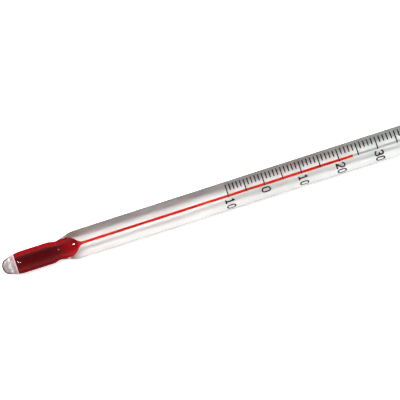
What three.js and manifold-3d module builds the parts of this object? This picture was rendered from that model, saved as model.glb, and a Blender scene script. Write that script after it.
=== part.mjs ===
// A small solid-stem spirit-in-glass thermometer, lying on a level surface with its scale facing up.
// Millimetres, +Z up. +X runs from the bulb's tip to the top of the stem, and the origin is the middle of
// the line on which the stem rests. A station is a distance along the stem from the bulb's tip. An angle
// round the stem is counted from straight up, and grows towards -Y: the numerals' side.
import * as THREE from 'three';
import { mergeVertices } from 'three/addons/utils/BufferGeometryUtils.js';
import Module from 'manifold-3d';

// Driving dimensions
const totalLength = 120;
const stemRadius = 3;
const boreRadius = 0.2;
const bulbRadius = 2.33;
const waistRadius = 2.03;
const bulbWall = 0.51;

// Stations along the stem
const tipInside = 3.15; // where the solid glass tip ends and the spirit begins
const bulbBodyEnd = 10.35;
const waist = 12.1;
const bulbJoint = 16.75; // where the bulb's shoulder is fused to the stem
const funnelEnd = 17.95;
const chamberStart = 106.5;
const chamberEnd = 111;
const enamelEnd = 113;
const topDomeLength = 2.8;

// The opal layer behind the bore
const enamelInnerRadius = 2.15;
const enamelThickness = 0.4;
const enamelHalfAngle = degrees(50);

// The scale. Spirit expands faster as it warms, so each degree is a little longer than the one before.
const stationOfZero = 57.2;
const degreeLength = 0.7955;
const degreeGrowth = 0.0008;
const coldestDegree = -10;
const warmestDegree = 50;
const readingNow = 23.7;

// Marks of fired ink
const inkRise = 0.03; // clear of the stem's facets
const inkThickness = 0.05;
const lineWidth = 0.27;
const lineStart = degrees(-50.5);
const lineEnd = degrees(3.4);
const numeralHeight = 1.9;
const numeralCentre = 1.22; // round the surface from straight up to the middle of the first numeral
const numeralPitch = 1.44;
const strokeWidth = 0.27;
const unitStation = 103.6;
const unitHeight = 1.5;
const unitRingCentre = 0.85;
const unitLetterCentre = 1.75;

// Fits and facets
const jointGap = 0.05;
const slotGap = 0.02;
const spiritGap = 0.02;
const threadTopLength = 30;
const meniscusDip = 0.1;
const outerSides = 32;
const innerSides = 16;
const inkSides = 6;
const strokeStep = 0.16; // length of one facet along a stroke
const overrun = 0.5; // how far a cutting body passes through the face it cuts

const colours = {
  clearGlass: { color: 0xdfe8e6, roughness: 0.05, metalness: 0, transparent: true, opacity: 0.4 },
  enamel: { color: 0xf2f2ee, roughness: 0.4, metalness: 0 },
  spirit: { color: 0xb30a0a, roughness: 0.25, metalness: 0 },
  ink: { color: 0x1c1917, roughness: 0.7, metalness: 0 },
};

function degrees(angle) {
  return (angle * Math.PI) / 180;
}

function stationOf(temperature) {
  return stationOfZero + degreeLength * temperature + degreeGrowth * temperature ** 2;
}

const wasm = await Module();
wasm.setup();

function toSolid(geometry) {
  const bare = new THREE.BufferGeometry();
  bare.setAttribute('position', geometry.getAttribute('position'));
  bare.setIndex(geometry.getIndex());
  const merged = mergeVertices(bare, 1e-4);
  return new wasm.Manifold(
    new wasm.Mesh({
      numProp: 3,
      vertProperties: merged.getAttribute('position').array,
      triVerts: new Uint32Array(merged.getIndex().array),
    }),
  );
}

function toGeometry(solid) {
  const mesh = solid.getMesh();
  const geometry = new THREE.BufferGeometry();
  geometry.setAttribute('position', new THREE.BufferAttribute(mesh.vertProperties, 3));
  geometry.setIndex(new THREE.BufferAttribute(mesh.triVerts, 1));
  geometry.computeVertexNormals();
  return geometry;
}

// A body of revolution about the X axis. Its profile holds (station, radius) points, and its flats are
// tangent to that radius, with one flat straight down.
function turned(profile, sides) {
  const toCorner = 1 / Math.cos(Math.PI / sides);
  const points = profile.map((point) => new THREE.Vector2(point.y * toCorner, point.x));
  const geometry = new THREE.LatheGeometry(points, sides, Math.PI / sides);
  return geometry.rotateZ(-Math.PI / 2);
}

// A slice of a tube between two angles round the X axis, starting at a station.
function arcBar(innerRadius, outerRadius, fromAngle, toAngle, station, length, curveSegments) {
  const shape = new THREE.Shape();
  shape.absarc(0, 0, outerRadius, fromAngle + Math.PI, toAngle + Math.PI, false);
  shape.absarc(0, 0, innerRadius, toAngle + Math.PI, fromAngle + Math.PI, true);
  const geometry = new THREE.ExtrudeGeometry(shape, { depth: length, bevelEnabled: false, curveSegments });
  return geometry.rotateY(Math.PI / 2).translate(station, 0, 0);
}

// The stretch of a profile between two stations, for a profile whose stations never go back.
function stretch(profile, from, to) {
  const at = (station) => {
    const next = profile.findIndex((point) => point.x > station);
    const [a, b] = [profile[next - 1], profile[next]];
    return a.clone().lerp(b, (station - a.x) / (b.x - a.x));
  };
  return [at(from), ...profile.filter((point) => point.x > from && point.x < to), at(to)];
}

// Outside of the bulb and its shoulder: a blunt solid tip, a straight body, a waist and a flare.
function bulbOutline() {
  const tipDepth = 1.25;
  const tipRadius = 1.62;
  const tipSweep = degrees(61);
  const outline = new THREE.Path();
  outline.absellipse(tipDepth, 0, tipDepth, tipRadius, Math.PI, Math.PI - tipSweep, true);
  outline.bezierCurveTo(1, 1.67, 3, 2.31, 4.4, bulbRadius);
  outline.lineTo(bulbBodyEnd, bulbRadius);
  outline.bezierCurveTo(bulbBodyEnd + 0.8, bulbRadius, waist - 0.65, waistRadius, waist, waistRadius);
  outline.bezierCurveTo(waist + 0.4, waistRadius, waist + 0.65, 2.15, waist + 1.05, 2.26);
  outline.lineTo(bulbJoint - 1.8, 2.78);
  outline.bezierCurveTo(bulbJoint - 1.4, 2.9, bulbJoint - 0.8, stemRadius, bulbJoint, stemRadius);
  return outline.getPoints(5);
}

// The space that holds the spirit: the bulb, its funnel, the bore and the expansion chamber.
function cavityOutline() {
  const bodyRadius = bulbRadius - bulbWall;
  const neckRadius = 1.42;
  const chamberRadius = 0.7;
  const chamberMiddle = (chamberStart + chamberEnd) / 2;
  const outline = new THREE.Path();
  outline.moveTo(tipInside, 0);
  outline.lineTo(tipInside + 0.01, 1.5);
  outline.quadraticCurveTo(tipInside + 0.03, bodyRadius, tipInside + 0.35, bodyRadius);
  outline.lineTo(bulbBodyEnd, bodyRadius);
  outline.bezierCurveTo(bulbBodyEnd + 0.8, bodyRadius, waist - 0.65, 1.5, waist, 1.48);
  outline.lineTo(waist + 2.25, neckRadius);
  outline.bezierCurveTo(waist + 3.35, neckRadius, funnelEnd - 2.1, 1.1, funnelEnd - 1.6, 0.7);
  outline.bezierCurveTo(funnelEnd - 1.3, 0.45, funnelEnd - 0.9, boreRadius, funnelEnd, boreRadius);
  outline.lineTo(chamberStart, boreRadius);
  outline.bezierCurveTo(
    chamberStart + 0.9,
    boreRadius,
    chamberStart + 1.1,
    chamberRadius,
    chamberMiddle,
    chamberRadius,
  );
  outline.bezierCurveTo(chamberEnd - 0.8, chamberRadius, chamberEnd - 0.01, 0.6, chamberEnd, 0);
  return outline.getPoints(5);
}

function bulbGlass() {
  const inside = stretch(cavityOutline(), tipInside, bulbJoint);
  return turned([...bulbOutline(), ...inside.reverse()], outerSides);
}

function stemTube() {
  const start = bulbJoint + jointGap;
  const domeStart = totalLength - topDomeLength;
  const outline = new THREE.Path();
  outline.moveTo(start, 0);
  outline.lineTo(start, stemRadius);
  outline.lineTo(domeStart, stemRadius);
  outline.absellipse(domeStart, 0, topDomeLength, stemRadius, Math.PI / 2, 0, true);
  const outside = toSolid(turned(outline.getPoints(6), outerSides));

  const cavity = stretch(cavityOutline(), start - overrun, chamberEnd - 1e-3);
  const bore = toSolid(
    turned([new THREE.Vector2(cavity[0].x, 0), ...cavity, new THREE.Vector2(chamberEnd, 0)], innerSides),
  );
  const slot = toSolid(
    arcBar(
      enamelInnerRadius - slotGap,
      enamelInnerRadius + enamelThickness + slotGap,
      Math.PI - enamelHalfAngle - slotGap / enamelInnerRadius,
      Math.PI + enamelHalfAngle + slotGap / enamelInnerRadius,
      start - overrun,
      enamelEnd - start + overrun,
      16,
    ),
  );
  return toGeometry(outside.subtract(bore).subtract(slot));
}

function enamelBacking() {
  const start = bulbJoint + 2 * jointGap;
  return arcBar(
    enamelInnerRadius,
    enamelInnerRadius + enamelThickness,
    Math.PI - enamelHalfAngle,
    Math.PI + enamelHalfAngle,
    start,
    enamelEnd - jointGap - start,
    16,
  );
}

function bulbSpirit() {
  const wall = stretch(cavityOutline(), tipInside, funnelEnd + jointGap);
  const skin = wall.map(
    (point) => new THREE.Vector2(Math.max(point.x, tipInside + spiritGap), Math.max(0, point.y - spiritGap)),
  );
  skin.push(new THREE.Vector2(funnelEnd + jointGap, 0));
  return turned(skin, outerSides);
}

function spiritThread() {
  const radius = boreRadius - spiritGap;
  const start = funnelEnd + 2 * jointGap;
  const end = stationOf(readingNow) - threadTopLength - jointGap;
  const outline = new THREE.Path();
  outline.moveTo(start, 0);
  outline.lineTo(start, radius);
  outline.lineTo(end, radius);
  outline.lineTo(end, 0);
  return turned(outline.getPoints(), innerSides);
}

// The part of the thread that moves as one as the temperature changes. Its surface is drawn up at the wall.
function spiritThreadTop() {
  const radius = boreRadius - spiritGap;
  const end = stationOf(readingNow);
  const outline = new THREE.Path();
  outline.moveTo(end - threadTopLength, 0);
  outline.lineTo(end - threadTopLength, radius);
  outline.lineTo(end, radius);
  outline.quadraticCurveTo(end - meniscusDip, radius / 2, end - meniscusDip, 0);
  return turned(outline.getPoints(4), innerSides);
}

function scaleLine(temperature) {
  const inner = stemRadius + inkRise;
  const start = stationOf(temperature) - lineWidth / 2;
  return arcBar(inner, inner + inkThickness, lineStart, lineEnd, start, lineWidth, 14);
}

// Numerals are drawn as strokes on a flat cell of height 1 whose middle is x = 0: x to the reader's right,
// y up.
function line(x0, y0, x1, y1) {
  return new THREE.LineCurve3(new THREE.Vector3(x0, y0, 0), new THREE.Vector3(x1, y1, 0));
}

function arc(x, y, radiusX, radiusY, from, to) {
  const flat = new THREE.EllipseCurve(x, y, radiusX, radiusY, degrees(from), degrees(to), to < from);
  return new THREE.CatmullRomCurve3(flat.getPoints(12).map((p) => new THREE.Vector3(p.x, p.y, 0)));
}

function joined(...curves) {
  const points = curves.flatMap((curve, i) => curve.getPoints(6).slice(i ? 1 : 0));
  return new THREE.CatmullRomCurve3(points, false, 'centripetal');
}

const glyphs = {
  0: [
    joined(line(-0.24, 0.5, -0.24, 0.67), arc(0, 0.67, 0.24, 0.28, 180, 0), line(0.24, 0.67, 0.24, 0.5)),
    joined(line(0.24, 0.5, 0.24, 0.33), arc(0, 0.33, 0.24, 0.28, 0, -180), line(-0.24, 0.33, -0.24, 0.5)),
  ],
  1: [line(0, 0.05, 0, 0.95), line(0, 0.95, -0.17, 0.8), line(-0.16, 0.05, 0.16, 0.05)],
  2: [
    joined(arc(0, 0.68, 0.25, 0.27, 165, -25), line(0.16, 0.5, -0.26, 0.05)),
    line(-0.26, 0.05, 0.27, 0.05),
  ],
  3: [arc(-0.01, 0.73, 0.24, 0.22, 155, -90), arc(-0.01, 0.28, 0.28, 0.23, 90, -155)],
  4: [line(0.12, 0.05, 0.12, 0.95), line(0.12, 0.95, -0.28, 0.3), line(-0.28, 0.3, 0.29, 0.3)],
  5: [line(0.22, 0.95, -0.19, 0.95), line(-0.19, 0.95, -0.23, 0.56), arc(0, 0.33, 0.25, 0.28, 140, -150)],
  C: [arc(0, 0.5, 0.29, 0.45, 45, 315)],
  ring: [arc(0, 0.8, 0.15, 0.15, 0, 185), arc(0, 0.8, 0.15, 0.15, 180, 365)],
};

// One stroke as a round bar along a curve of a cell that is `height` mm high.
function strokeSolid(curve, height) {
  const corners = [];
  for (let i = 0; i < inkSides; i++) {
    const turn = (2 * Math.PI * i) / inkSides;
    corners.push(new THREE.Vector2((strokeWidth / 2) * Math.cos(turn), (strokeWidth / 2) * Math.sin(turn)));
  }
  const scaled = new THREE.CatmullRomCurve3(
    curve.getSpacedPoints(14).map((point) => point.clone().multiplyScalar(height)),
  );
  const steps = Math.max(3, Math.round(scaled.getLength() / strokeStep));
  const options = { steps, bevelEnabled: false, extrudePath: scaled };
  return toSolid(new THREE.ExtrudeGeometry(new THREE.Shape(corners), options));
}

// A mark bent round the stem: its middle is `centre` mm round the surface from straight up.
function wrappedMark(name, height, centre, station) {
  const solids = glyphs[name].map((curve) => strokeSolid(curve, height));
  const flat = toGeometry(solids.reduce((whole, solid) => whole.add(solid)));
  const place = flat.getAttribute('position');
  const flatten = inkThickness / strokeWidth;
  for (let i = 0; i < place.count; i++) {
    const angle = (centre + place.getX(i)) / stemRadius;
    const radius = stemRadius + inkRise + inkThickness / 2 + flatten * place.getZ(i);
    const along = station - height / 2 + place.getY(i);
    place.setXYZ(i, along, -radius * Math.sin(angle), radius * Math.cos(angle));
  }
  flat.computeVertexNormals();
  return flat;
}

const thermometer = new THREE.Group();
thermometer.position.set(-totalLength / 2, 0, stemRadius);

function add(name, geometry, look) {
  const mesh = new THREE.Mesh(geometry, new THREE.MeshStandardMaterial(colours[look]));
  mesh.name = name;
  thermometer.add(mesh);
}

add('bulb_glass', bulbGlass(), 'clearGlass');
add('stem_tube', stemTube(), 'clearGlass');
add('enamel_backing', enamelBacking(), 'enamel');
add('bulb_spirit', bulbSpirit(), 'spirit');
add('spirit_thread', spiritThread(), 'spirit');
add('spirit_thread_top', spiritThreadTop(), 'spirit');

function label(temperature) {
  return temperature < 0 ? `minus_${-temperature}` : `${temperature}`;
}

for (let temperature = coldestDegree; temperature <= warmestDegree; temperature += 5) {
  add(`line_${label(temperature)}`, scaleLine(temperature), 'ink');
}

for (let temperature = coldestDegree; temperature <= warmestDegree; temperature += 10) {
  const digits = `${Math.abs(temperature)}`.split('');
  digits.forEach((digit, i) => {
    const place = i === digits.length - 1 ? 'units' : 'tens';
    const centre = numeralCentre + i * numeralPitch;
    const geometry = wrappedMark(digit, numeralHeight, centre, stationOf(temperature));
    add(`numeral_${label(temperature)}_${place}`, geometry, 'ink');
  });
}

add('unit_degree_ring', wrappedMark('ring', unitHeight, unitRingCentre, unitStation), 'ink');
add('unit_letter_c', wrappedMark('C', unitHeight, unitLetterCentre, unitStation), 'ink');

const root = new THREE.Group();
root.add(thermometer);

export default root;
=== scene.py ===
"""A spirit-in-glass thermometer lying on a pale floor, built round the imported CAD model.

Sizes are in millimetres until they become mesh points, which are in metres like everything in Blender.
A station is a distance along the stem from the bulb's tip. An angle round the stem is counted from
straight up, and grows towards the numerals' side, which is -Y. The lines are on the +Y side."""

import math

import bmesh
import bpy
from mathutils import Matrix, Vector
from mathutils.geometry import interpolate_bezier


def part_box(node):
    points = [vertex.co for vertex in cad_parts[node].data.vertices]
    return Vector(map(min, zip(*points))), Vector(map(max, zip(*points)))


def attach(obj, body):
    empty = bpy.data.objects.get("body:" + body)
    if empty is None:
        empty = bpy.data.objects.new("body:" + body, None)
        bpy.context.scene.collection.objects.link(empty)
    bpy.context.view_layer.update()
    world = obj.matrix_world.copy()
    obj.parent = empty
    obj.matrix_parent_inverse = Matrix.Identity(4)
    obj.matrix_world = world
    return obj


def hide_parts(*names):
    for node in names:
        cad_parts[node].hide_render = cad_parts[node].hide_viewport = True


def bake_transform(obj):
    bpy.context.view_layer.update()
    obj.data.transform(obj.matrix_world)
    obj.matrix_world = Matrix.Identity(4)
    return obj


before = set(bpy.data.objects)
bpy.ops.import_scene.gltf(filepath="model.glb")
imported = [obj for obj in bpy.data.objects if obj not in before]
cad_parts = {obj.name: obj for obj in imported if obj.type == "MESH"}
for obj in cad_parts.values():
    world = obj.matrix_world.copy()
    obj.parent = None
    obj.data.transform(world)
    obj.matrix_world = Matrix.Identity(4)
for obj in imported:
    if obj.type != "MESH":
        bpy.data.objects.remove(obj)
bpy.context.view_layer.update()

MM = 0.001

# The stem's own size and place come from the frame
STEM_LOW, STEM_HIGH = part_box("stem_tube")
TIP_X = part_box("bulb_glass")[0].x
STEM_RADIUS = (STEM_HIGH.y - STEM_LOW.y) / 2 / MM
AXIS_Z = STEM_LOW.z + STEM_RADIUS * MM
LENGTH = (STEM_HIGH.x - TIP_X) / MM

# Stations of the glass and of what is in it
TIP_INSIDE = (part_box("bulb_spirit")[0].x - TIP_X) / MM
BULB_RADIUS = 2.33
WAIST_RADIUS = 2.03
BULB_BODY_END = 10.35
WAIST = 12.1
BULB_JOINT = 16.75
FUNNEL_END = 17.95
BORE_RADIUS = 0.18
CHAMBER_START = 106.5
CHAMBER_END = 111.0
CHAMBER_RADIUS = 0.7
TOP_DOME_LENGTH = 2.8
SPIRIT_RADIUS = 1.82
SPIRIT_NECK_RADIUS = 1.42
MENISCUS_DIP = 0.14

# The opal strip behind the bore. It begins as a narrow tongue in the bulb's shoulder.
OPAL_START = 14.5
OPAL_TONGUE = 2.2
OPAL_END = (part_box("enamel_backing")[1].x - TIP_X) / MM
OPAL_INNER_RADIUS = 2.15
OPAL_THICKNESS = 0.4
OPAL_HALF_ANGLE = math.radians(50)
OPAL_TONGUE_ANGLE = math.radians(8)

# The scale
COLDEST, WARMEST = -10, 50
MENISCUS = (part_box("spirit_thread_top")[1].x - TIP_X) / MM
LINE_WIDTH = 0.27
LINE_START = math.radians(-50.5)
SHORT_LINE_END = math.radians(-20.5)
LONG_LINE_END = math.radians(3.4)
NUMERAL_HEIGHT = 1.9
NUMERAL_CENTRE = 1.22
NUMERAL_PITCH = 1.44
STROKE_WIDTH = 0.32
INK_THICKNESS = 0.025
UNIT_STATION = 103.6
UNIT_HEIGHT = 1.5
UNIT_STROKE_WIDTH = 0.22
UNIT_RING_CENTRE = 0.85
UNIT_LETTER_CENTRE = 1.75

ROUND_SIDES = 128
BORE_SIDES = 32
CURVE_STEPS = 16
TONGUE_STEPS = 14
STRIP_STEPS = 24
STRIP_SIDES = 40
LINE_STEPS = 12
GLYPH_ARC_STEPS = 20
SECTION_POINTS = 12

THREAD_COLOUR = (0.57, 0.038, 0.014)
BLACK, WHITE = (0, 0, 0), (1, 1, 1)

# The room and its two lamps, in metres and watts. The room is dim below the floor and overhead.
FLOOR_GLOW = 0.75
WORLD_STRENGTH = 0.46
BACKDROP = 1.85
LIGHT_DISTANCE = 0.6
KEY_DIRECTION = Vector((0.2, 0.25, 1.0))
KEY_SIZE = (1.1, 0.1)
KEY_POWER = 6.0
CATCH_DIRECTION = Vector((-0.4, 0.2, 1.0))
CATCH_SIZE = (0.08, 0.08)
CATCH_POWER = 1.1

# The camera stands over a point beside the stem's axis. Its distance is in metres.
CAMERA_DISTANCE = 0.8
CAMERA_ROLL = math.radians(17.87)
VIEW_WIDTH = 83.16
VIEW_STATION = 43.45
VIEW_ASIDE = 0.936


def station_of(temperature):
    """Spirit expands faster as it warms, so each degree is a little longer than the one before."""
    return 57.2 + 0.7955 * temperature + 0.0008 * temperature**2


# The painted grey of the empty bore, which is only air in the glass, shows from just under the scale to
# just above it
EMPTY_BORE_START = station_of(COLDEST) - 1
EMPTY_BORE_END = station_of(WARMEST) + 2
EMPTY_BORE_RADIUS = BORE_RADIUS - 0.03


def label(temperature):
    """A temperature as it is written in the names of the nodes."""
    return f"minus_{-temperature}" if temperature < 0 else str(temperature)


# ---------------------------------------------------------------- mesh tools


def place(station, radius, angle):
    """A point of the thermometer as a point of the scene."""
    across = -radius * math.sin(angle) * MM
    return Vector((TIP_X + station * MM, across, AXIS_Z + radius * math.cos(angle) * MM))


def bezier(start, handle_a, handle_b, end):
    knots = [Vector((*p, 0)) for p in (start, handle_a, handle_b, end)]
    points = interpolate_bezier(*knots, CURVE_STEPS)
    return [(p.x, p.y) for p in points]


def ellipse(centre, radius_x, radius_y, start, end, steps=CURVE_STEPS):
    """Points of an ellipse's arc between two angles in degrees."""
    turns = [math.radians(start + (end - start) * i / steps) for i in range(steps + 1)]
    return [(centre[0] + radius_x * math.cos(t), centre[1] + radius_y * math.sin(t)) for t in turns]


def joined(*stretches):
    """One profile out of several, without the points where they meet twice."""
    profile = []
    for point in (p for stretch in stretches for p in stretch):
        if not profile or math.dist(profile[-1], point) > 1e-4:
            profile.append(point)
    return profile


def turn(mesh, profile, sides, inward=False):
    """Adds a body of revolution about the stem's axis from a profile of (station, radius) points."""
    rings = []
    for station, radius in profile:
        count = sides if radius > 1e-4 else 1
        ring = [mesh.verts.new(place(station, radius, 2 * math.pi * i / sides)) for i in range(count)]
        rings.append(ring)
    for near, far in zip(rings, rings[1:]):
        for i in range(sides):
            j = (i + 1) % sides
            corners = [near[i % len(near)], far[i % len(far)], far[j % len(far)], near[j % len(near)]]
            if not inward:
                corners.reverse()
            mesh.faces.new(list(dict.fromkeys(corners)))


def skin(mesh, rings, closed=False):
    """Joins rings of equally many points into one body, with flat ends unless it closes on itself."""
    pairs = list(zip(rings, rings[1:])) + ([(rings[-1], rings[0])] if closed else [])
    for near, far in pairs:
        for k in range(len(near)):
            m = (k + 1) % len(near)
            mesh.faces.new((near[k], near[m], far[m], far[k]))
    if not closed:
        mesh.faces.new(rings[0])
        mesh.faces.new(rings[-1])
    bmesh.ops.recalc_face_normals(mesh, faces=mesh.faces)


def finish_piece(name, mesh, material, sharp_above=50):
    """Makes an object of a bmesh, smooth except at edges that are sharper than an angle in degrees."""
    data = bpy.data.meshes.new(name)
    mesh.to_mesh(data)
    mesh.free()
    data.shade_smooth()
    data.set_sharp_from_angle(angle=math.radians(sharp_above))
    data.materials.append(material)
    piece = bpy.data.objects.new(name, data)
    bpy.context.scene.collection.objects.link(piece)
    return piece


# ---------------------------------------------------------------- profiles


def outer_profile():
    """Outside of the whole glass: blunt solid tip, bulb, waist, flared shoulder, stem and domed top."""
    dome_start = LENGTH - TOP_DOME_LENGTH
    return joined(
        ellipse((1.25, 0), 1.25, 1.62, 180, 119),
        bezier((0.64, 1.417), (1.0, 1.67), (3.0, 2.31), (4.4, BULB_RADIUS)),
        [(4.4, BULB_RADIUS), (7.5, BULB_RADIUS), (BULB_BODY_END, BULB_RADIUS)],
        bezier(
            (BULB_BODY_END, BULB_RADIUS),
            (BULB_BODY_END + 0.8, BULB_RADIUS),
            (WAIST - 0.65, WAIST_RADIUS),
            (WAIST, WAIST_RADIUS),
        ),
        bezier(
            (WAIST, WAIST_RADIUS),
            (WAIST + 0.4, WAIST_RADIUS),
            (WAIST + 0.65, 2.15),
            (WAIST + 1.05, 2.26),
        ),
        bezier(
            (WAIST + 1.05, 2.26),
            (WAIST + 1.65, 2.42),
            (BULB_JOINT - 2.4, 2.61),
            (BULB_JOINT - 1.8, 2.78),
        ),
        bezier(
            (BULB_JOINT - 1.8, 2.78),
            (BULB_JOINT - 1.4, 2.9),
            (BULB_JOINT - 0.8, STEM_RADIUS),
            (BULB_JOINT, STEM_RADIUS),
        ),
        [(station, STEM_RADIUS) for station in range(20, int(dome_start), 5)],
        ellipse((dome_start, 0), TOP_DOME_LENGTH, STEM_RADIUS, 90, 0),
    )


def chamber_profile():
    """The empty end of the bore above the scale, with its expansion chamber."""
    middle = (CHAMBER_START + CHAMBER_END) / 2
    return joined(
        [(EMPTY_BORE_END, 0), (EMPTY_BORE_END, BORE_RADIUS), (CHAMBER_START, BORE_RADIUS)],
        bezier(
            (CHAMBER_START, BORE_RADIUS),
            (CHAMBER_START + 0.9, BORE_RADIUS),
            (CHAMBER_START + 1.1, CHAMBER_RADIUS),
            (middle, CHAMBER_RADIUS),
        ),
        bezier(
            (middle, CHAMBER_RADIUS),
            (CHAMBER_END - 0.8, CHAMBER_RADIUS),
            (CHAMBER_END, 0.6),
            (CHAMBER_END, 0),
        ),
    )


def spirit_profile():
    """The spirit in the bulb: a flat end against the solid tip, a body, a waist, a dome and a funnel."""
    body, neck, flat_end = SPIRIT_RADIUS, SPIRIT_NECK_RADIUS, TIP_INSIDE
    return joined(
        [(flat_end, 0), (flat_end, 0.7), (flat_end, 1.5)],
        bezier((flat_end, 1.5), (flat_end, 1.68), (flat_end + 0.1, body), (flat_end + 0.35, body)),
        [(flat_end + 0.35, body), (7.5, body), (BULB_BODY_END, body)],
        bezier((BULB_BODY_END, body), (BULB_BODY_END + 0.8, body), (WAIST - 0.65, 1.5), (WAIST, 1.48)),
        bezier((WAIST, 1.48), (WAIST + 0.65, 1.46), (WAIST + 1.45, neck), (WAIST + 2.25, neck)),
        bezier(
            (WAIST + 2.25, neck),
            (WAIST + 3.35, neck),
            (FUNNEL_END - 2.1, 1.1),
            (FUNNEL_END - 1.6, 0.7),
        ),
        bezier(
            (FUNNEL_END - 1.6, 0.7),
            (FUNNEL_END - 1.3, 0.45),
            (FUNNEL_END - 0.9, BORE_RADIUS),
            (FUNNEL_END, BORE_RADIUS),
        ),
        [(FUNNEL_END + 0.2, BORE_RADIUS), (FUNNEL_END + 0.2, 0)],
    )


def thread_profile():
    """The thread in the bore, up to a surface that is drawn up at the wall."""
    length = MENISCUS - FUNNEL_END
    steps = round(length)
    rings = [(FUNNEL_END + length * i / steps, BORE_RADIUS) for i in range(steps + 1)]
    surface = ellipse((MENISCUS, 0), MENISCUS_DIP, BORE_RADIUS, 90, 180, 6)
    return joined([(FUNNEL_END, 0)], rings, surface)


# ---------------------------------------------------------------- marks of ink


def arc(x, y, radius_x, radius_y, start, end):
    return ellipse((x, y), radius_x, radius_y, start, end, GLYPH_ARC_STEPS)


def line(x0, y0, x1, y1, steps=6):
    return [(x0 + (x1 - x0) * i / steps, y0 + (y1 - y0) * i / steps) for i in range(steps + 1)]


# Strokes on a cell of height 1 whose middle is x = 0: x to the reader's right, y up
GLYPHS = {
    "0": [joined(arc(0, 0.7, 0.235, 0.25, 0, 180), line(-0.235, 0.7, -0.235, 0.3),
                 arc(0, 0.3, 0.235, 0.25, 180, 360), line(0.235, 0.3, 0.235, 0.66))],
    "1": [line(0, 0.05, 0, 0.95), line(0, 0.95, -0.17, 0.8, 3), line(-0.16, 0.05, 0.16, 0.05, 3)],
    "2": [joined(arc(0, 0.68, 0.25, 0.27, 165, -25), line(0.16, 0.5, -0.26, 0.05)),
          line(-0.26, 0.05, 0.27, 0.05, 4)],
    "3": [arc(-0.01, 0.73, 0.24, 0.22, 155, -90), arc(-0.01, 0.28, 0.28, 0.23, 90, -155)],
    "4": [line(0.12, 0.05, 0.12, 0.95), line(0.12, 0.95, -0.28, 0.3), line(-0.28, 0.3, 0.29, 0.3, 4)],
    "5": [line(0.22, 0.95, -0.19, 0.95, 4), line(-0.19, 0.95, -0.23, 0.56, 4),
          arc(0, 0.33, 0.25, 0.28, 140, -150)],
    "C": [arc(0, 0.5, 0.29, 0.45, 45, 315)],
    "ring": [arc(0, 0.8, 0.15, 0.15, 0, 342)],
}
CLOSED_GLYPHS = ("0", "ring")


def bead_spots(path, width, closed):
    """Where a bead's rings sit: each spot with its tangent and its share of the full width. An open
    bead has a rounded cap at each end."""
    count = len(path)
    spots = []
    for i, point in enumerate(path):
        before = path[i - 1] if closed or i else point
        after = path[(i + 1) % count] if closed or i < count - 1 else point
        tangent = Vector((after[0] - before[0], after[1] - before[1])).normalized()
        spots.append((Vector(point), tangent, 1.0))
    if closed:
        return spots
    cap = [math.radians(a) for a in (25, 50, 75)]
    half = width / 2
    start, ahead, _ = spots[0]
    end, onward, _ = spots[-1]
    head = [(start - ahead * half * math.sin(a), ahead, math.cos(a)) for a in reversed(cap)]
    tail = [(end + onward * half * math.sin(a), onward, math.cos(a)) for a in cap]
    return head + spots + tail


def bead(path, width, closed=False):
    """A bead of ink along a path of (across, along) points, bent round the stem's surface. It is domed
    on top and sunk a little into the glass."""
    mesh = bmesh.new()
    rings = []
    for spot, tangent, size in bead_spots(path, width, closed):
        side = Vector((tangent.y, -tangent.x))
        ring = []
        for k in range(SECTION_POINTS):
            turn_angle = 2 * math.pi * k / SECTION_POINTS
            at = spot + side * (math.cos(turn_angle) * size * width / 2)
            radius = STEM_RADIUS + math.sin(turn_angle) * size * INK_THICKNESS
            ring.append(mesh.verts.new(place(at.y, radius, at.x / STEM_RADIUS)))
        rings.append(ring)
    skin(mesh, rings, closed)
    return mesh


def fused(pieces):
    """One closed mesh out of several that overlap."""
    whole = pieces[0]
    for other in pieces[1:]:
        union = whole.modifiers.new("union", "BOOLEAN")
        union.operation = "UNION"
        union.solver = "EXACT"
        union.object = other
        evaluated = whole.evaluated_get(bpy.context.evaluated_depsgraph_get())
        data = bpy.data.meshes.new_from_object(evaluated)
        whole.modifiers.clear()
        whole.data = data
        bpy.data.objects.remove(other)
    whole.data.shade_smooth()
    whole.data.set_sharp_from_angle(angle=math.radians(60))
    return whole


def mark(name, glyph, height, stroke_width, centre, station, node):
    """A numeral or letter: its middle is `centre` mm round the surface from straight up."""
    strokes = []
    for number, stroke in enumerate(GLYPHS[glyph]):
        path = [(centre + x * height, station + (y - 0.5) * height) for x, y in stroke]
        mesh = bead(path, stroke_width, glyph in CLOSED_GLYPHS)
        strokes.append(finish_piece(f"{name}_stroke_{number}", mesh, INK))
    whole = fused(strokes)
    whole.name = name
    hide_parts(node)
    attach(whole, "glass")


def line_bead(temperature, end_angle):
    """One line of the scale, from the side of the stem to an angle round it."""
    station = station_of(temperature)
    path = line(LINE_START * STEM_RADIUS, station, end_angle * STEM_RADIUS, station, LINE_STEPS)
    return bead(path, LINE_WIDTH)


# ---------------------------------------------------------------- materials


def principled(name, colour, roughness):
    """A new material with its shader, and what it takes to add nodes to it."""
    material = bpy.data.materials.new(name)
    material.use_nodes = True
    shader = material.node_tree.nodes["Principled BSDF"]
    shader.inputs["Base Color"].default_value = (*colour, 1)
    shader.inputs["Roughness"].default_value = roughness
    return material, shader, material.node_tree.nodes, material.node_tree.links


def object_point(nodes, links, stretch):
    """Object coordinates stretched along each axis, in metres."""
    coordinates = nodes.new("ShaderNodeTexCoord")
    mapping = nodes.new("ShaderNodeMapping")
    mapping.inputs["Scale"].default_value = stretch
    links.new(coordinates.outputs["Object"], mapping.inputs["Vector"])
    return mapping.outputs["Vector"]


def noise(nodes, links, point, scale, detail):
    texture = nodes.new("ShaderNodeTexNoise")
    texture.inputs["Scale"].default_value = scale
    texture.inputs["Detail"].default_value = detail
    links.new(point, texture.inputs["Vector"])
    return texture.outputs["Fac"]


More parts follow.
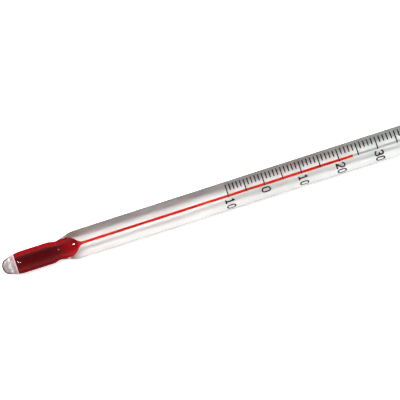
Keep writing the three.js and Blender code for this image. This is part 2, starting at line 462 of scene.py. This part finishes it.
def ramp(nodes, links, value, stops):
    """A colour ramp from (position, colour) stops."""
    node = nodes.new("ShaderNodeValToRGB")
    elements = node.color_ramp.elements
    for element, (position, colour) in zip(elements, (stops[0], stops[-1])):
        element.position = position
        element.color = (*colour, 1)
    for position, colour in stops[1:-1]:
        elements.new(position).color = (*colour, 1)
    links.new(value, node.inputs["Fac"])
    return node.outputs["Color"]


def mottled(nodes, links, stretch, scale, detail, stops):
    """A colour that varies with noise. A stretch under 1 along the stem draws the noise out along it."""
    texture = noise(nodes, links, object_point(nodes, links, stretch), scale, detail)
    return ramp(nodes, links, texture, stops)


def plain(nodes, colour):
    """One colour, as an output that can be mixed with others."""
    node = nodes.new("ShaderNodeRGB")
    node.outputs["Color"].default_value = (*colour, 1)
    return node.outputs["Color"]


def calculated(nodes, links, operation, *values):
    """The result of one operation on outputs of other nodes and on plain numbers."""
    node = nodes.new("ShaderNodeMath")
    node.operation = operation
    for socket, value in zip(node.inputs, values):
        if isinstance(value, (int, float)):
            socket.default_value = value
        else:
            links.new(value, socket)
    return node.outputs["Value"]


def bump(nodes, links, shader, height, distance):
    node = nodes.new("ShaderNodeBump")
    node.inputs["Distance"].default_value = distance
    links.new(height, node.inputs["Height"])
    links.new(node.outputs["Normal"], shader.inputs["Normal"])


def clear_glass():
    """Drawn glass with long faint striae. Both ends were sealed in a flame, and the top is grey. The
    solid tip's colour is painted shade, darkest at its end, with a painted highlight band and a painted
    pink reflection where it meets the spirit, shifted about by noise."""
    material, shader, nodes, links = principled("clear_glass", WHITE, 0.0)
    shader.inputs["Transmission Weight"].default_value = 1.0
    shader.inputs["IOR"].default_value = 1.5
    striae = noise(nodes, links, object_point(nodes, links, (0.12, 1, 1)), 1400, 2)
    bump(nodes, links, shader, striae, 0.01 * MM)
    clear_stops = [(0.3, (0.965, 0.975, 0.97)), (0.7, WHITE)]
    clear = mottled(nodes, links, (0.5, 1, 1), 700, 3, clear_stops)

    # Noise moves the tip's painted shade and highlight bands along it, either way by up to half of
    # `reach` times its length
    reach = 0.6
    position = along_stem(nodes, links, reach / 2 * TIP_INSIDE, (1 + reach / 2) * TIP_INSIDE)
    tip_shade_noise = noise(nodes, links, object_point(nodes, links, (1, 1, 1)), 1500, 1)
    tip_shade_position = calculated(nodes, links, "MULTIPLY_ADD", tip_shade_noise, reach, position)
    # Painted shade in the tip, darkest at its end, then a painted highlight band and a painted pink
    # reflection of the spirit
    tip_painted_shade_stops = [
        (0.0, (0.05, 0.045, 0.045)),
        (0.14, (0.28, 0.255, 0.255)),
        (0.3, (0.46, 0.395, 0.395)),
        (0.5, (0.38, 0.37, 0.365)),
        (0.64, (0.86, 0.85, 0.85)),
        (0.78, (0.36, 0.34, 0.34)),
        (0.95, (0.9, 0.56, 0.58)),
    ]
    tip_painted_shade = ramp(nodes, links, tip_shade_position, tip_painted_shade_stops)
    tip_share = along_stem(nodes, links, 0, TIP_INSIDE)
    to_clear = ramp(nodes, links, tip_share, [(0.95, BLACK), (1.0, WHITE)])
    low = mixed(nodes, links, to_clear, tip_painted_shade, clear)

    top_share = along_stem(nodes, links, OPAL_END - OPAL_TONGUE, LENGTH)
    to_top = ramp(nodes, links, top_share, [(0.0, BLACK), (0.5, (0.45, 0.45, 0.45)), (1.0, WHITE)])
    colour = mixed(nodes, links, to_top, low, plain(nodes, (0.35, 0.35, 0.35)))
    links.new(colour, shader.inputs["Base Color"])
    return material


def opal_glass():
    """Milky glass, a little cloudy along the direction in which it was drawn."""
    material, shader, nodes, links = principled("opal_enamel", (0.8, 0.8, 0.79), 0.45)
    shader.inputs["Specular IOR Level"].default_value = 0.0
    stops = [(0.3, (0.76, 0.77, 0.76)), (0.7, (0.84, 0.855, 0.845))]
    colour = mottled(nodes, links, (0.2, 1, 1), 900, 3, stops)
    links.new(colour, shader.inputs["Base Color"])
    return material


def object_axes(nodes, links):
    """The three object coordinates, for an object whose own coordinates are the scene's."""
    coordinates = nodes.new("ShaderNodeTexCoord")
    split = nodes.new("ShaderNodeSeparateXYZ")
    links.new(coordinates.outputs["Object"], split.inputs["Vector"])
    return split.outputs


def share_between(nodes, links, value, low, high):
    """0 where a value is at its low end and 1 where it is at its high end."""
    share = nodes.new("ShaderNodeMapRange")
    share.inputs["From Min"].default_value = low
    share.inputs["From Max"].default_value = high
    links.new(value, share.inputs["Value"])
    return share.outputs["Result"]


def along_stem(nodes, links, start, end):
    """0 at one station and 1 at another."""
    x = object_axes(nodes, links)["X"]
    return share_between(nodes, links, x, place(start, 0, 0).x, place(end, 0, 0).x)


def sideways(nodes, links):
    """How far a point leans from the stem's axis to a side: 0 is towards the numerals, 0.5 is up or
    down, and 1 is towards the lines."""
    axes = object_axes(nodes, links)
    height = calculated(nodes, links, "SUBTRACT", axes["Z"], AXIS_Z)
    distance = calculated(nodes, links, "ABSOLUTE", height)
    angle = calculated(nodes, links, "ARCTAN2", axes["Y"], distance)
    return share_between(nodes, links, angle, -math.pi / 2, math.pi / 2)


def mixed(nodes, links, share, colour_a, colour_b):
    node = nodes.new("ShaderNodeMix")
    node.data_type = "RGBA"
    links.new(share, node.inputs["Factor"])
    links.new(colour_a, node.inputs["A"])
    links.new(colour_b, node.inputs["B"])
    return node.outputs["Result"]


def spirit_in_bulb():
    """Red spirit whose colour is painted light and shade round the stem: maroon in the middle of the
    bulb, lighter towards its sides and lightest on the lines' side, lighter on the numerals' side of
    the dome, and as clear a red as the thread in the funnel."""
    material, shader, nodes, links = principled("spirit_in_bulb", (0.3, 0.003, 0.006), 0.5)
    shader.inputs["Specular IOR Level"].default_value = 0.0
    # Painted light and shade by the lean round the stem: dark near the top, lighter to the sides
    bulb_light_and_shade_stops = [
        (0.12, (0.26, 0.001, 0.005)),
        (0.28, (0.2, 0.001, 0.004)),
        (0.38, (0.135, 0.0, 0.003)),
        (0.52, (0.125, 0.0, 0.003)),
        (0.61, (0.08, 0.0, 0.002)),
        (0.69, (0.115, 0.0, 0.003)),
        (0.76, (0.27, 0.001, 0.005)),
        (0.86, (0.52, 0.002, 0.007)),
    ]
    dome_light_and_shade_stops = [
        (0.2, (0.42, 0.003, 0.006)),
        (0.33, (0.25, 0.001, 0.004)),
        (0.5, (0.23, 0.0, 0.004)),
        (0.62, (0.19, 0.0, 0.003)),
        (0.8, (0.22, 0.001, 0.004)),
    ]
    lean = sideways(nodes, links)
    body = ramp(nodes, links, lean, bulb_light_and_shade_stops)
    dome = ramp(nodes, links, lean, dome_light_and_shade_stops)
    share = along_stem(nodes, links, TIP_INSIDE, FUNNEL_END)
    waist = (WAIST - TIP_INSIDE) / (FUNNEL_END - TIP_INSIDE)
    to_dome = ramp(nodes, links, share, [(waist - 0.02, BLACK), (waist + 0.15, WHITE)])
    to_funnel = ramp(nodes, links, share, [(0.88, BLACK), (0.98, WHITE)])
    painted_light_and_shade = mixed(nodes, links, to_dome, body, dome)
    colour = mixed(nodes, links, to_funnel, painted_light_and_shade, plain(nodes, THREAD_COLOUR))
    links.new(colour, shader.inputs["Base Color"])
    return material


def spirit_in_bore():
    """The same spirit seen thin, so it is a clear orange red."""
    material, shader, nodes, links = principled("spirit_in_bore", THREAD_COLOUR, 0.5)
    shader.inputs["Specular IOR Level"].default_value = 0.0
    shader.inputs["Subsurface Weight"].default_value = 1.0
    shader.inputs["Subsurface Radius"].default_value = (1.0, 0.05, 0.03)
    shader.inputs["Subsurface Scale"].default_value = 0.3 * MM
    stops = [(0.3, (0.52, 0.032, 0.012)), (0.7, (0.62, 0.044, 0.016))]
    colour = mottled(nodes, links, (0.05, 1, 1), 1500, 1, stops)
    links.new(colour, shader.inputs["Base Color"])
    return material


def fired_ink():
    """Matt brown black ink, uneven where it was squeezed on."""
    material, shader, nodes, links = principled("fired_ink", (0.012, 0.009, 0.007), 0.6)
    grain = noise(nodes, links, object_point(nodes, links, (1, 1, 1)), 6000, 3)
    colour = ramp(nodes, links, grain, [(0.35, (0.006, 0.004, 0.003)), (0.7, (0.022, 0.015, 0.012))])
    links.new(colour, shader.inputs["Base Color"])
    shader.inputs["Specular IOR Level"].default_value = 0.2
    bump(nodes, links, shader, grain, 0.01 * MM)
    return material


def bore_wall():
    """Painted shade for the empty bore, which is only air in the glass: a grey line that is a little
    uneven along its length.
    """
    material, shader, nodes, links = principled("bore_wall", (0.5, 0.5, 0.5), 0.3)
    stops = [(0.3, (0.44, 0.44, 0.44)), (0.7, (0.56, 0.56, 0.56))]
    colour = mottled(nodes, links, (0.1, 1, 1), 1200, 2, stops)
    links.new(colour, shader.inputs["Base Color"])
    return material


def floor_paint():
    """Matt white paint that glows a little, so that it stays white under the thermometer."""
    material, shader, nodes, links = principled("floor_paint", (0.9, 0.9, 0.9), 0.8)
    stops = [(0.3, (0.88, 0.88, 0.88)), (0.7, (0.92, 0.92, 0.92))]
    colour = mottled(nodes, links, (1, 1, 1), 300, 2, stops)
    links.new(colour, shader.inputs["Base Color"])
    shader.inputs["Emission Color"].default_value = (1, 1, 1, 1)
    shader.inputs["Emission Strength"].default_value = FLOOR_GLOW
    return material


# ---------------------------------------------------------------- the pieces


def build_glass():
    """The bulb and the stem in one, with the empty end of the bore as a hollow in it."""
    mesh = bmesh.new()
    turn(mesh, outer_profile(), ROUND_SIDES)
    turn(mesh, chamber_profile(), BORE_SIDES, inward=True)
    piece = finish_piece("glass_body", mesh, clear_glass())
    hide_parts("bulb_glass", "stem_tube")
    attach(piece, "glass")


def outer_radius_at(station):
    """Radius of the outside of the glass, for a station from the shoulder to the stem's top dome."""
    outline = outer_profile()
    for near, far in zip(outline, outline[1:]):
        if near[0] <= station < far[0]:
            share = (station - near[0]) / (far[0] - near[0])
            return near[1] + (far[1] - near[1]) * share
    return STEM_RADIUS


def opal_section(mesh, station, half_angle, shrink):
    """The strip's section: an arc of even thickness, which is a closed ring of points."""
    angles = [math.pi + half_angle * (2 * j / STRIP_SIDES - 1) for j in range(STRIP_SIDES + 1)]
    inner = [mesh.verts.new(place(station, OPAL_INNER_RADIUS * shrink, a)) for a in angles]
    outer_radius = (OPAL_INNER_RADIUS + OPAL_THICKNESS) * shrink
    outer = [mesh.verts.new(place(station, outer_radius, a)) for a in reversed(angles)]
    return inner + outer


def build_opal_strip():
    """The strip narrows to a tongue at both ends, and follows the shoulder's flare at the bulb's end."""
    shape = []
    for i in range(TONGUE_STEPS):
        share = i / TONGUE_STEPS
        rounded = math.sqrt(1 - (1 - share) ** 2)
        half_angle = OPAL_TONGUE_ANGLE + (OPAL_HALF_ANGLE - OPAL_TONGUE_ANGLE) * rounded
        shape.append((OPAL_TONGUE * share, half_angle))
    stations = [(OPAL_START + offset, half_angle) for offset, half_angle in shape]
    straight_start, straight_end = OPAL_START + OPAL_TONGUE, OPAL_END - OPAL_TONGUE
    for i in range(STRIP_STEPS + 1):
        share = i / STRIP_STEPS
        stations.append((straight_start + (straight_end - straight_start) * share, OPAL_HALF_ANGLE))
    stations += [(OPAL_END - offset, half_angle) for offset, half_angle in reversed(shape)]

    mesh = bmesh.new()
    sections = [
        opal_section(mesh, station, half_angle, outer_radius_at(station) / STEM_RADIUS)
        for station, half_angle in stations
    ]
    skin(mesh, sections)
    piece = finish_piece("opal_strip", mesh, opal_glass())
    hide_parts("enamel_backing")
    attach(piece, "glass")


def build_spirit():
    """The spirit in the bulb, and the thread in the bore from the funnel up to the level."""
    mesh = bmesh.new()
    turn(mesh, spirit_profile(), ROUND_SIDES // 2)
    bulb = finish_piece("spirit_bulb", mesh, spirit_in_bulb())
    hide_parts("bulb_spirit")
    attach(bulb, "glass")

    mesh = bmesh.new()
    turn(mesh, thread_profile(), BORE_SIDES)
    thread = finish_piece("spirit_column", mesh, spirit_in_bore())
    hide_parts("spirit_thread", "spirit_thread_top")
    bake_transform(thread)


def build_empty_bore():
    """A rod of painted grey shade where the empty bore shows above the thread, which is thicker and
    covers it as it rises.
    """
    start, end, radius = EMPTY_BORE_START, EMPTY_BORE_END, EMPTY_BORE_RADIUS
    mesh = bmesh.new()
    turn(mesh, [(start, 0), (start, radius), (end, radius), (end, 0)], BORE_SIDES)
    piece = finish_piece("empty_bore", mesh, bore_wall())
    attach(piece, "glass")


def build_lines():
    """A line for each degree. The long ones at each fifth degree are pieces of their own."""
    minor = bmesh.new()
    for temperature in range(COLDEST, WARMEST + 1):
        if temperature % 5:
            mesh = line_bead(temperature, SHORT_LINE_END)
            data = bpy.data.meshes.new("line")
            mesh.to_mesh(data)
            mesh.free()
            minor.from_mesh(data)
            bpy.data.meshes.remove(data)
            continue
        mesh = line_bead(temperature, LONG_LINE_END)
        piece = finish_piece(f"ink_line_{label(temperature)}", mesh, INK)
        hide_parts(f"line_{label(temperature)}")
        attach(piece, "glass")
    piece = finish_piece("ink_one_degree_lines", minor, INK)
    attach(piece, "glass")


def build_numerals():
    """The numerals and the unit mark stand across the stem, with their heads towards its top."""
    for temperature in range(COLDEST, WARMEST + 1, 10):
        digits = str(abs(temperature))
        for i, digit in enumerate(digits):
            place_name = "units" if i == len(digits) - 1 else "tens"
            node = f"numeral_{label(temperature)}_{place_name}"
            centre = NUMERAL_CENTRE + NUMERAL_PITCH * i
            station = station_of(temperature)
            mark(f"ink_{node}", digit, NUMERAL_HEIGHT, STROKE_WIDTH, centre, station, node)
    unit = (UNIT_HEIGHT, UNIT_STROKE_WIDTH)
    mark("ink_degree_ring", "ring", *unit, UNIT_RING_CENTRE, UNIT_STATION, "unit_degree_ring")
    mark("ink_letter_c", "C", *unit, UNIT_LETTER_CENTRE, UNIT_STATION, "unit_letter_c")


# ---------------------------------------------------------------- floor, light and camera


def build_floor():
    """A wide floor, which the glass doesn't mirror, so that its edges stay dark."""
    half = 2.0
    corners = ((-half, -half, 0), (half, -half, 0), (half, half, 0), (-half, half, 0))
    mesh = bmesh.new()
    mesh.faces.new([mesh.verts.new(corner) for corner in corners])
    data = bpy.data.meshes.new("floor")
    mesh.to_mesh(data)
    mesh.free()
    data.materials.append(floor_paint())
    floor = bpy.data.objects.new("floor", data)
    bpy.context.scene.collection.objects.link(floor)
    floor.visible_glossy = False


def area_light(name, direction, size, power, seen_in_gloss):
    """A softbox whose first side lies along the stem as nearly as its direction allows."""
    light = bpy.data.lights.new(name, "AREA")
    light.shape = "RECTANGLE"
    light.size, light.size_y = size
    light.energy = power
    back = direction.normalized()
    up = back.cross(Vector((1, 0, 0))).normalized()
    along = up.cross(back)
    lamp = bpy.data.objects.new(name, light)
    turn_matrix = Matrix((along, up, back)).transposed().to_4x4()
    lamp.matrix_world = Matrix.Translation(back * LIGHT_DISTANCE) @ turn_matrix
    lamp.visible_glossy = seen_in_gloss
    bpy.context.scene.collection.objects.link(lamp)


def build_light():
    """A softbox above the lines' side, a small lamp for the glints, and a grey room. The room is pale
    only where the camera looks straight at it."""
    world = bpy.data.worlds.new("studio")
    world.use_nodes = True
    nodes, links = world.node_tree.nodes, world.node_tree.links
    background = nodes["Background"]
    coordinates = nodes.new("ShaderNodeTexCoord")
    split = nodes.new("ShaderNodeSeparateXYZ")
    links.new(coordinates.outputs["Generated"], split.inputs["Vector"])
    dim = (0.2, 0.2, 0.2)
    room = ramp(nodes, links, split.outputs["Z"], [(0.0, dim), (0.02, WHITE), (1.0, dim)])
    path = nodes.new("ShaderNodeLightPath")
    pale = plain(nodes, (BACKDROP, BACKDROP, BACKDROP))
    shown = mixed(nodes, links, path.outputs["Is Camera Ray"], room, pale)
    links.new(shown, background.inputs["Color"])
    background.inputs["Strength"].default_value = WORLD_STRENGTH
    bpy.context.scene.world = world
    area_light("key", KEY_DIRECTION, KEY_SIZE, KEY_POWER, False)
    area_light("catch_light", CATCH_DIRECTION, CATCH_SIZE, CATCH_POWER, True)
    # Light reaches the opal strip and the spirit only through curved glass, so its focusing matters
    bpy.context.scene.cycles.blur_glossy = 0.0


def build_camera():
    """Looks straight down at the scale's face, rolled so that the stem rises to the right."""
    target = place(VIEW_STATION, 0, 0) + Vector((0, VIEW_ASIDE * MM, 0))
    data = bpy.data.cameras.new("camera")
    data.sensor_width = 36
    data.lens = data.sensor_width * CAMERA_DISTANCE / (VIEW_WIDTH * MM)
    data.clip_start = 0.01
    camera = bpy.data.objects.new("camera", data)
    down_on = Matrix.Translation(target + Vector((0, 0, CAMERA_DISTANCE)))
    camera.matrix_world = down_on @ Matrix.Rotation(-CAMERA_ROLL, 4, "Z")
    bpy.context.scene.collection.objects.link(camera)
    bpy.context.scene.camera = camera
    bpy.context.scene.view_settings.view_transform = "Standard"


build_camera()
INK = fired_ink()
build_glass()
build_opal_strip()
build_spirit()
build_empty_bore()
build_lines()
build_numerals()
build_floor()
build_light()
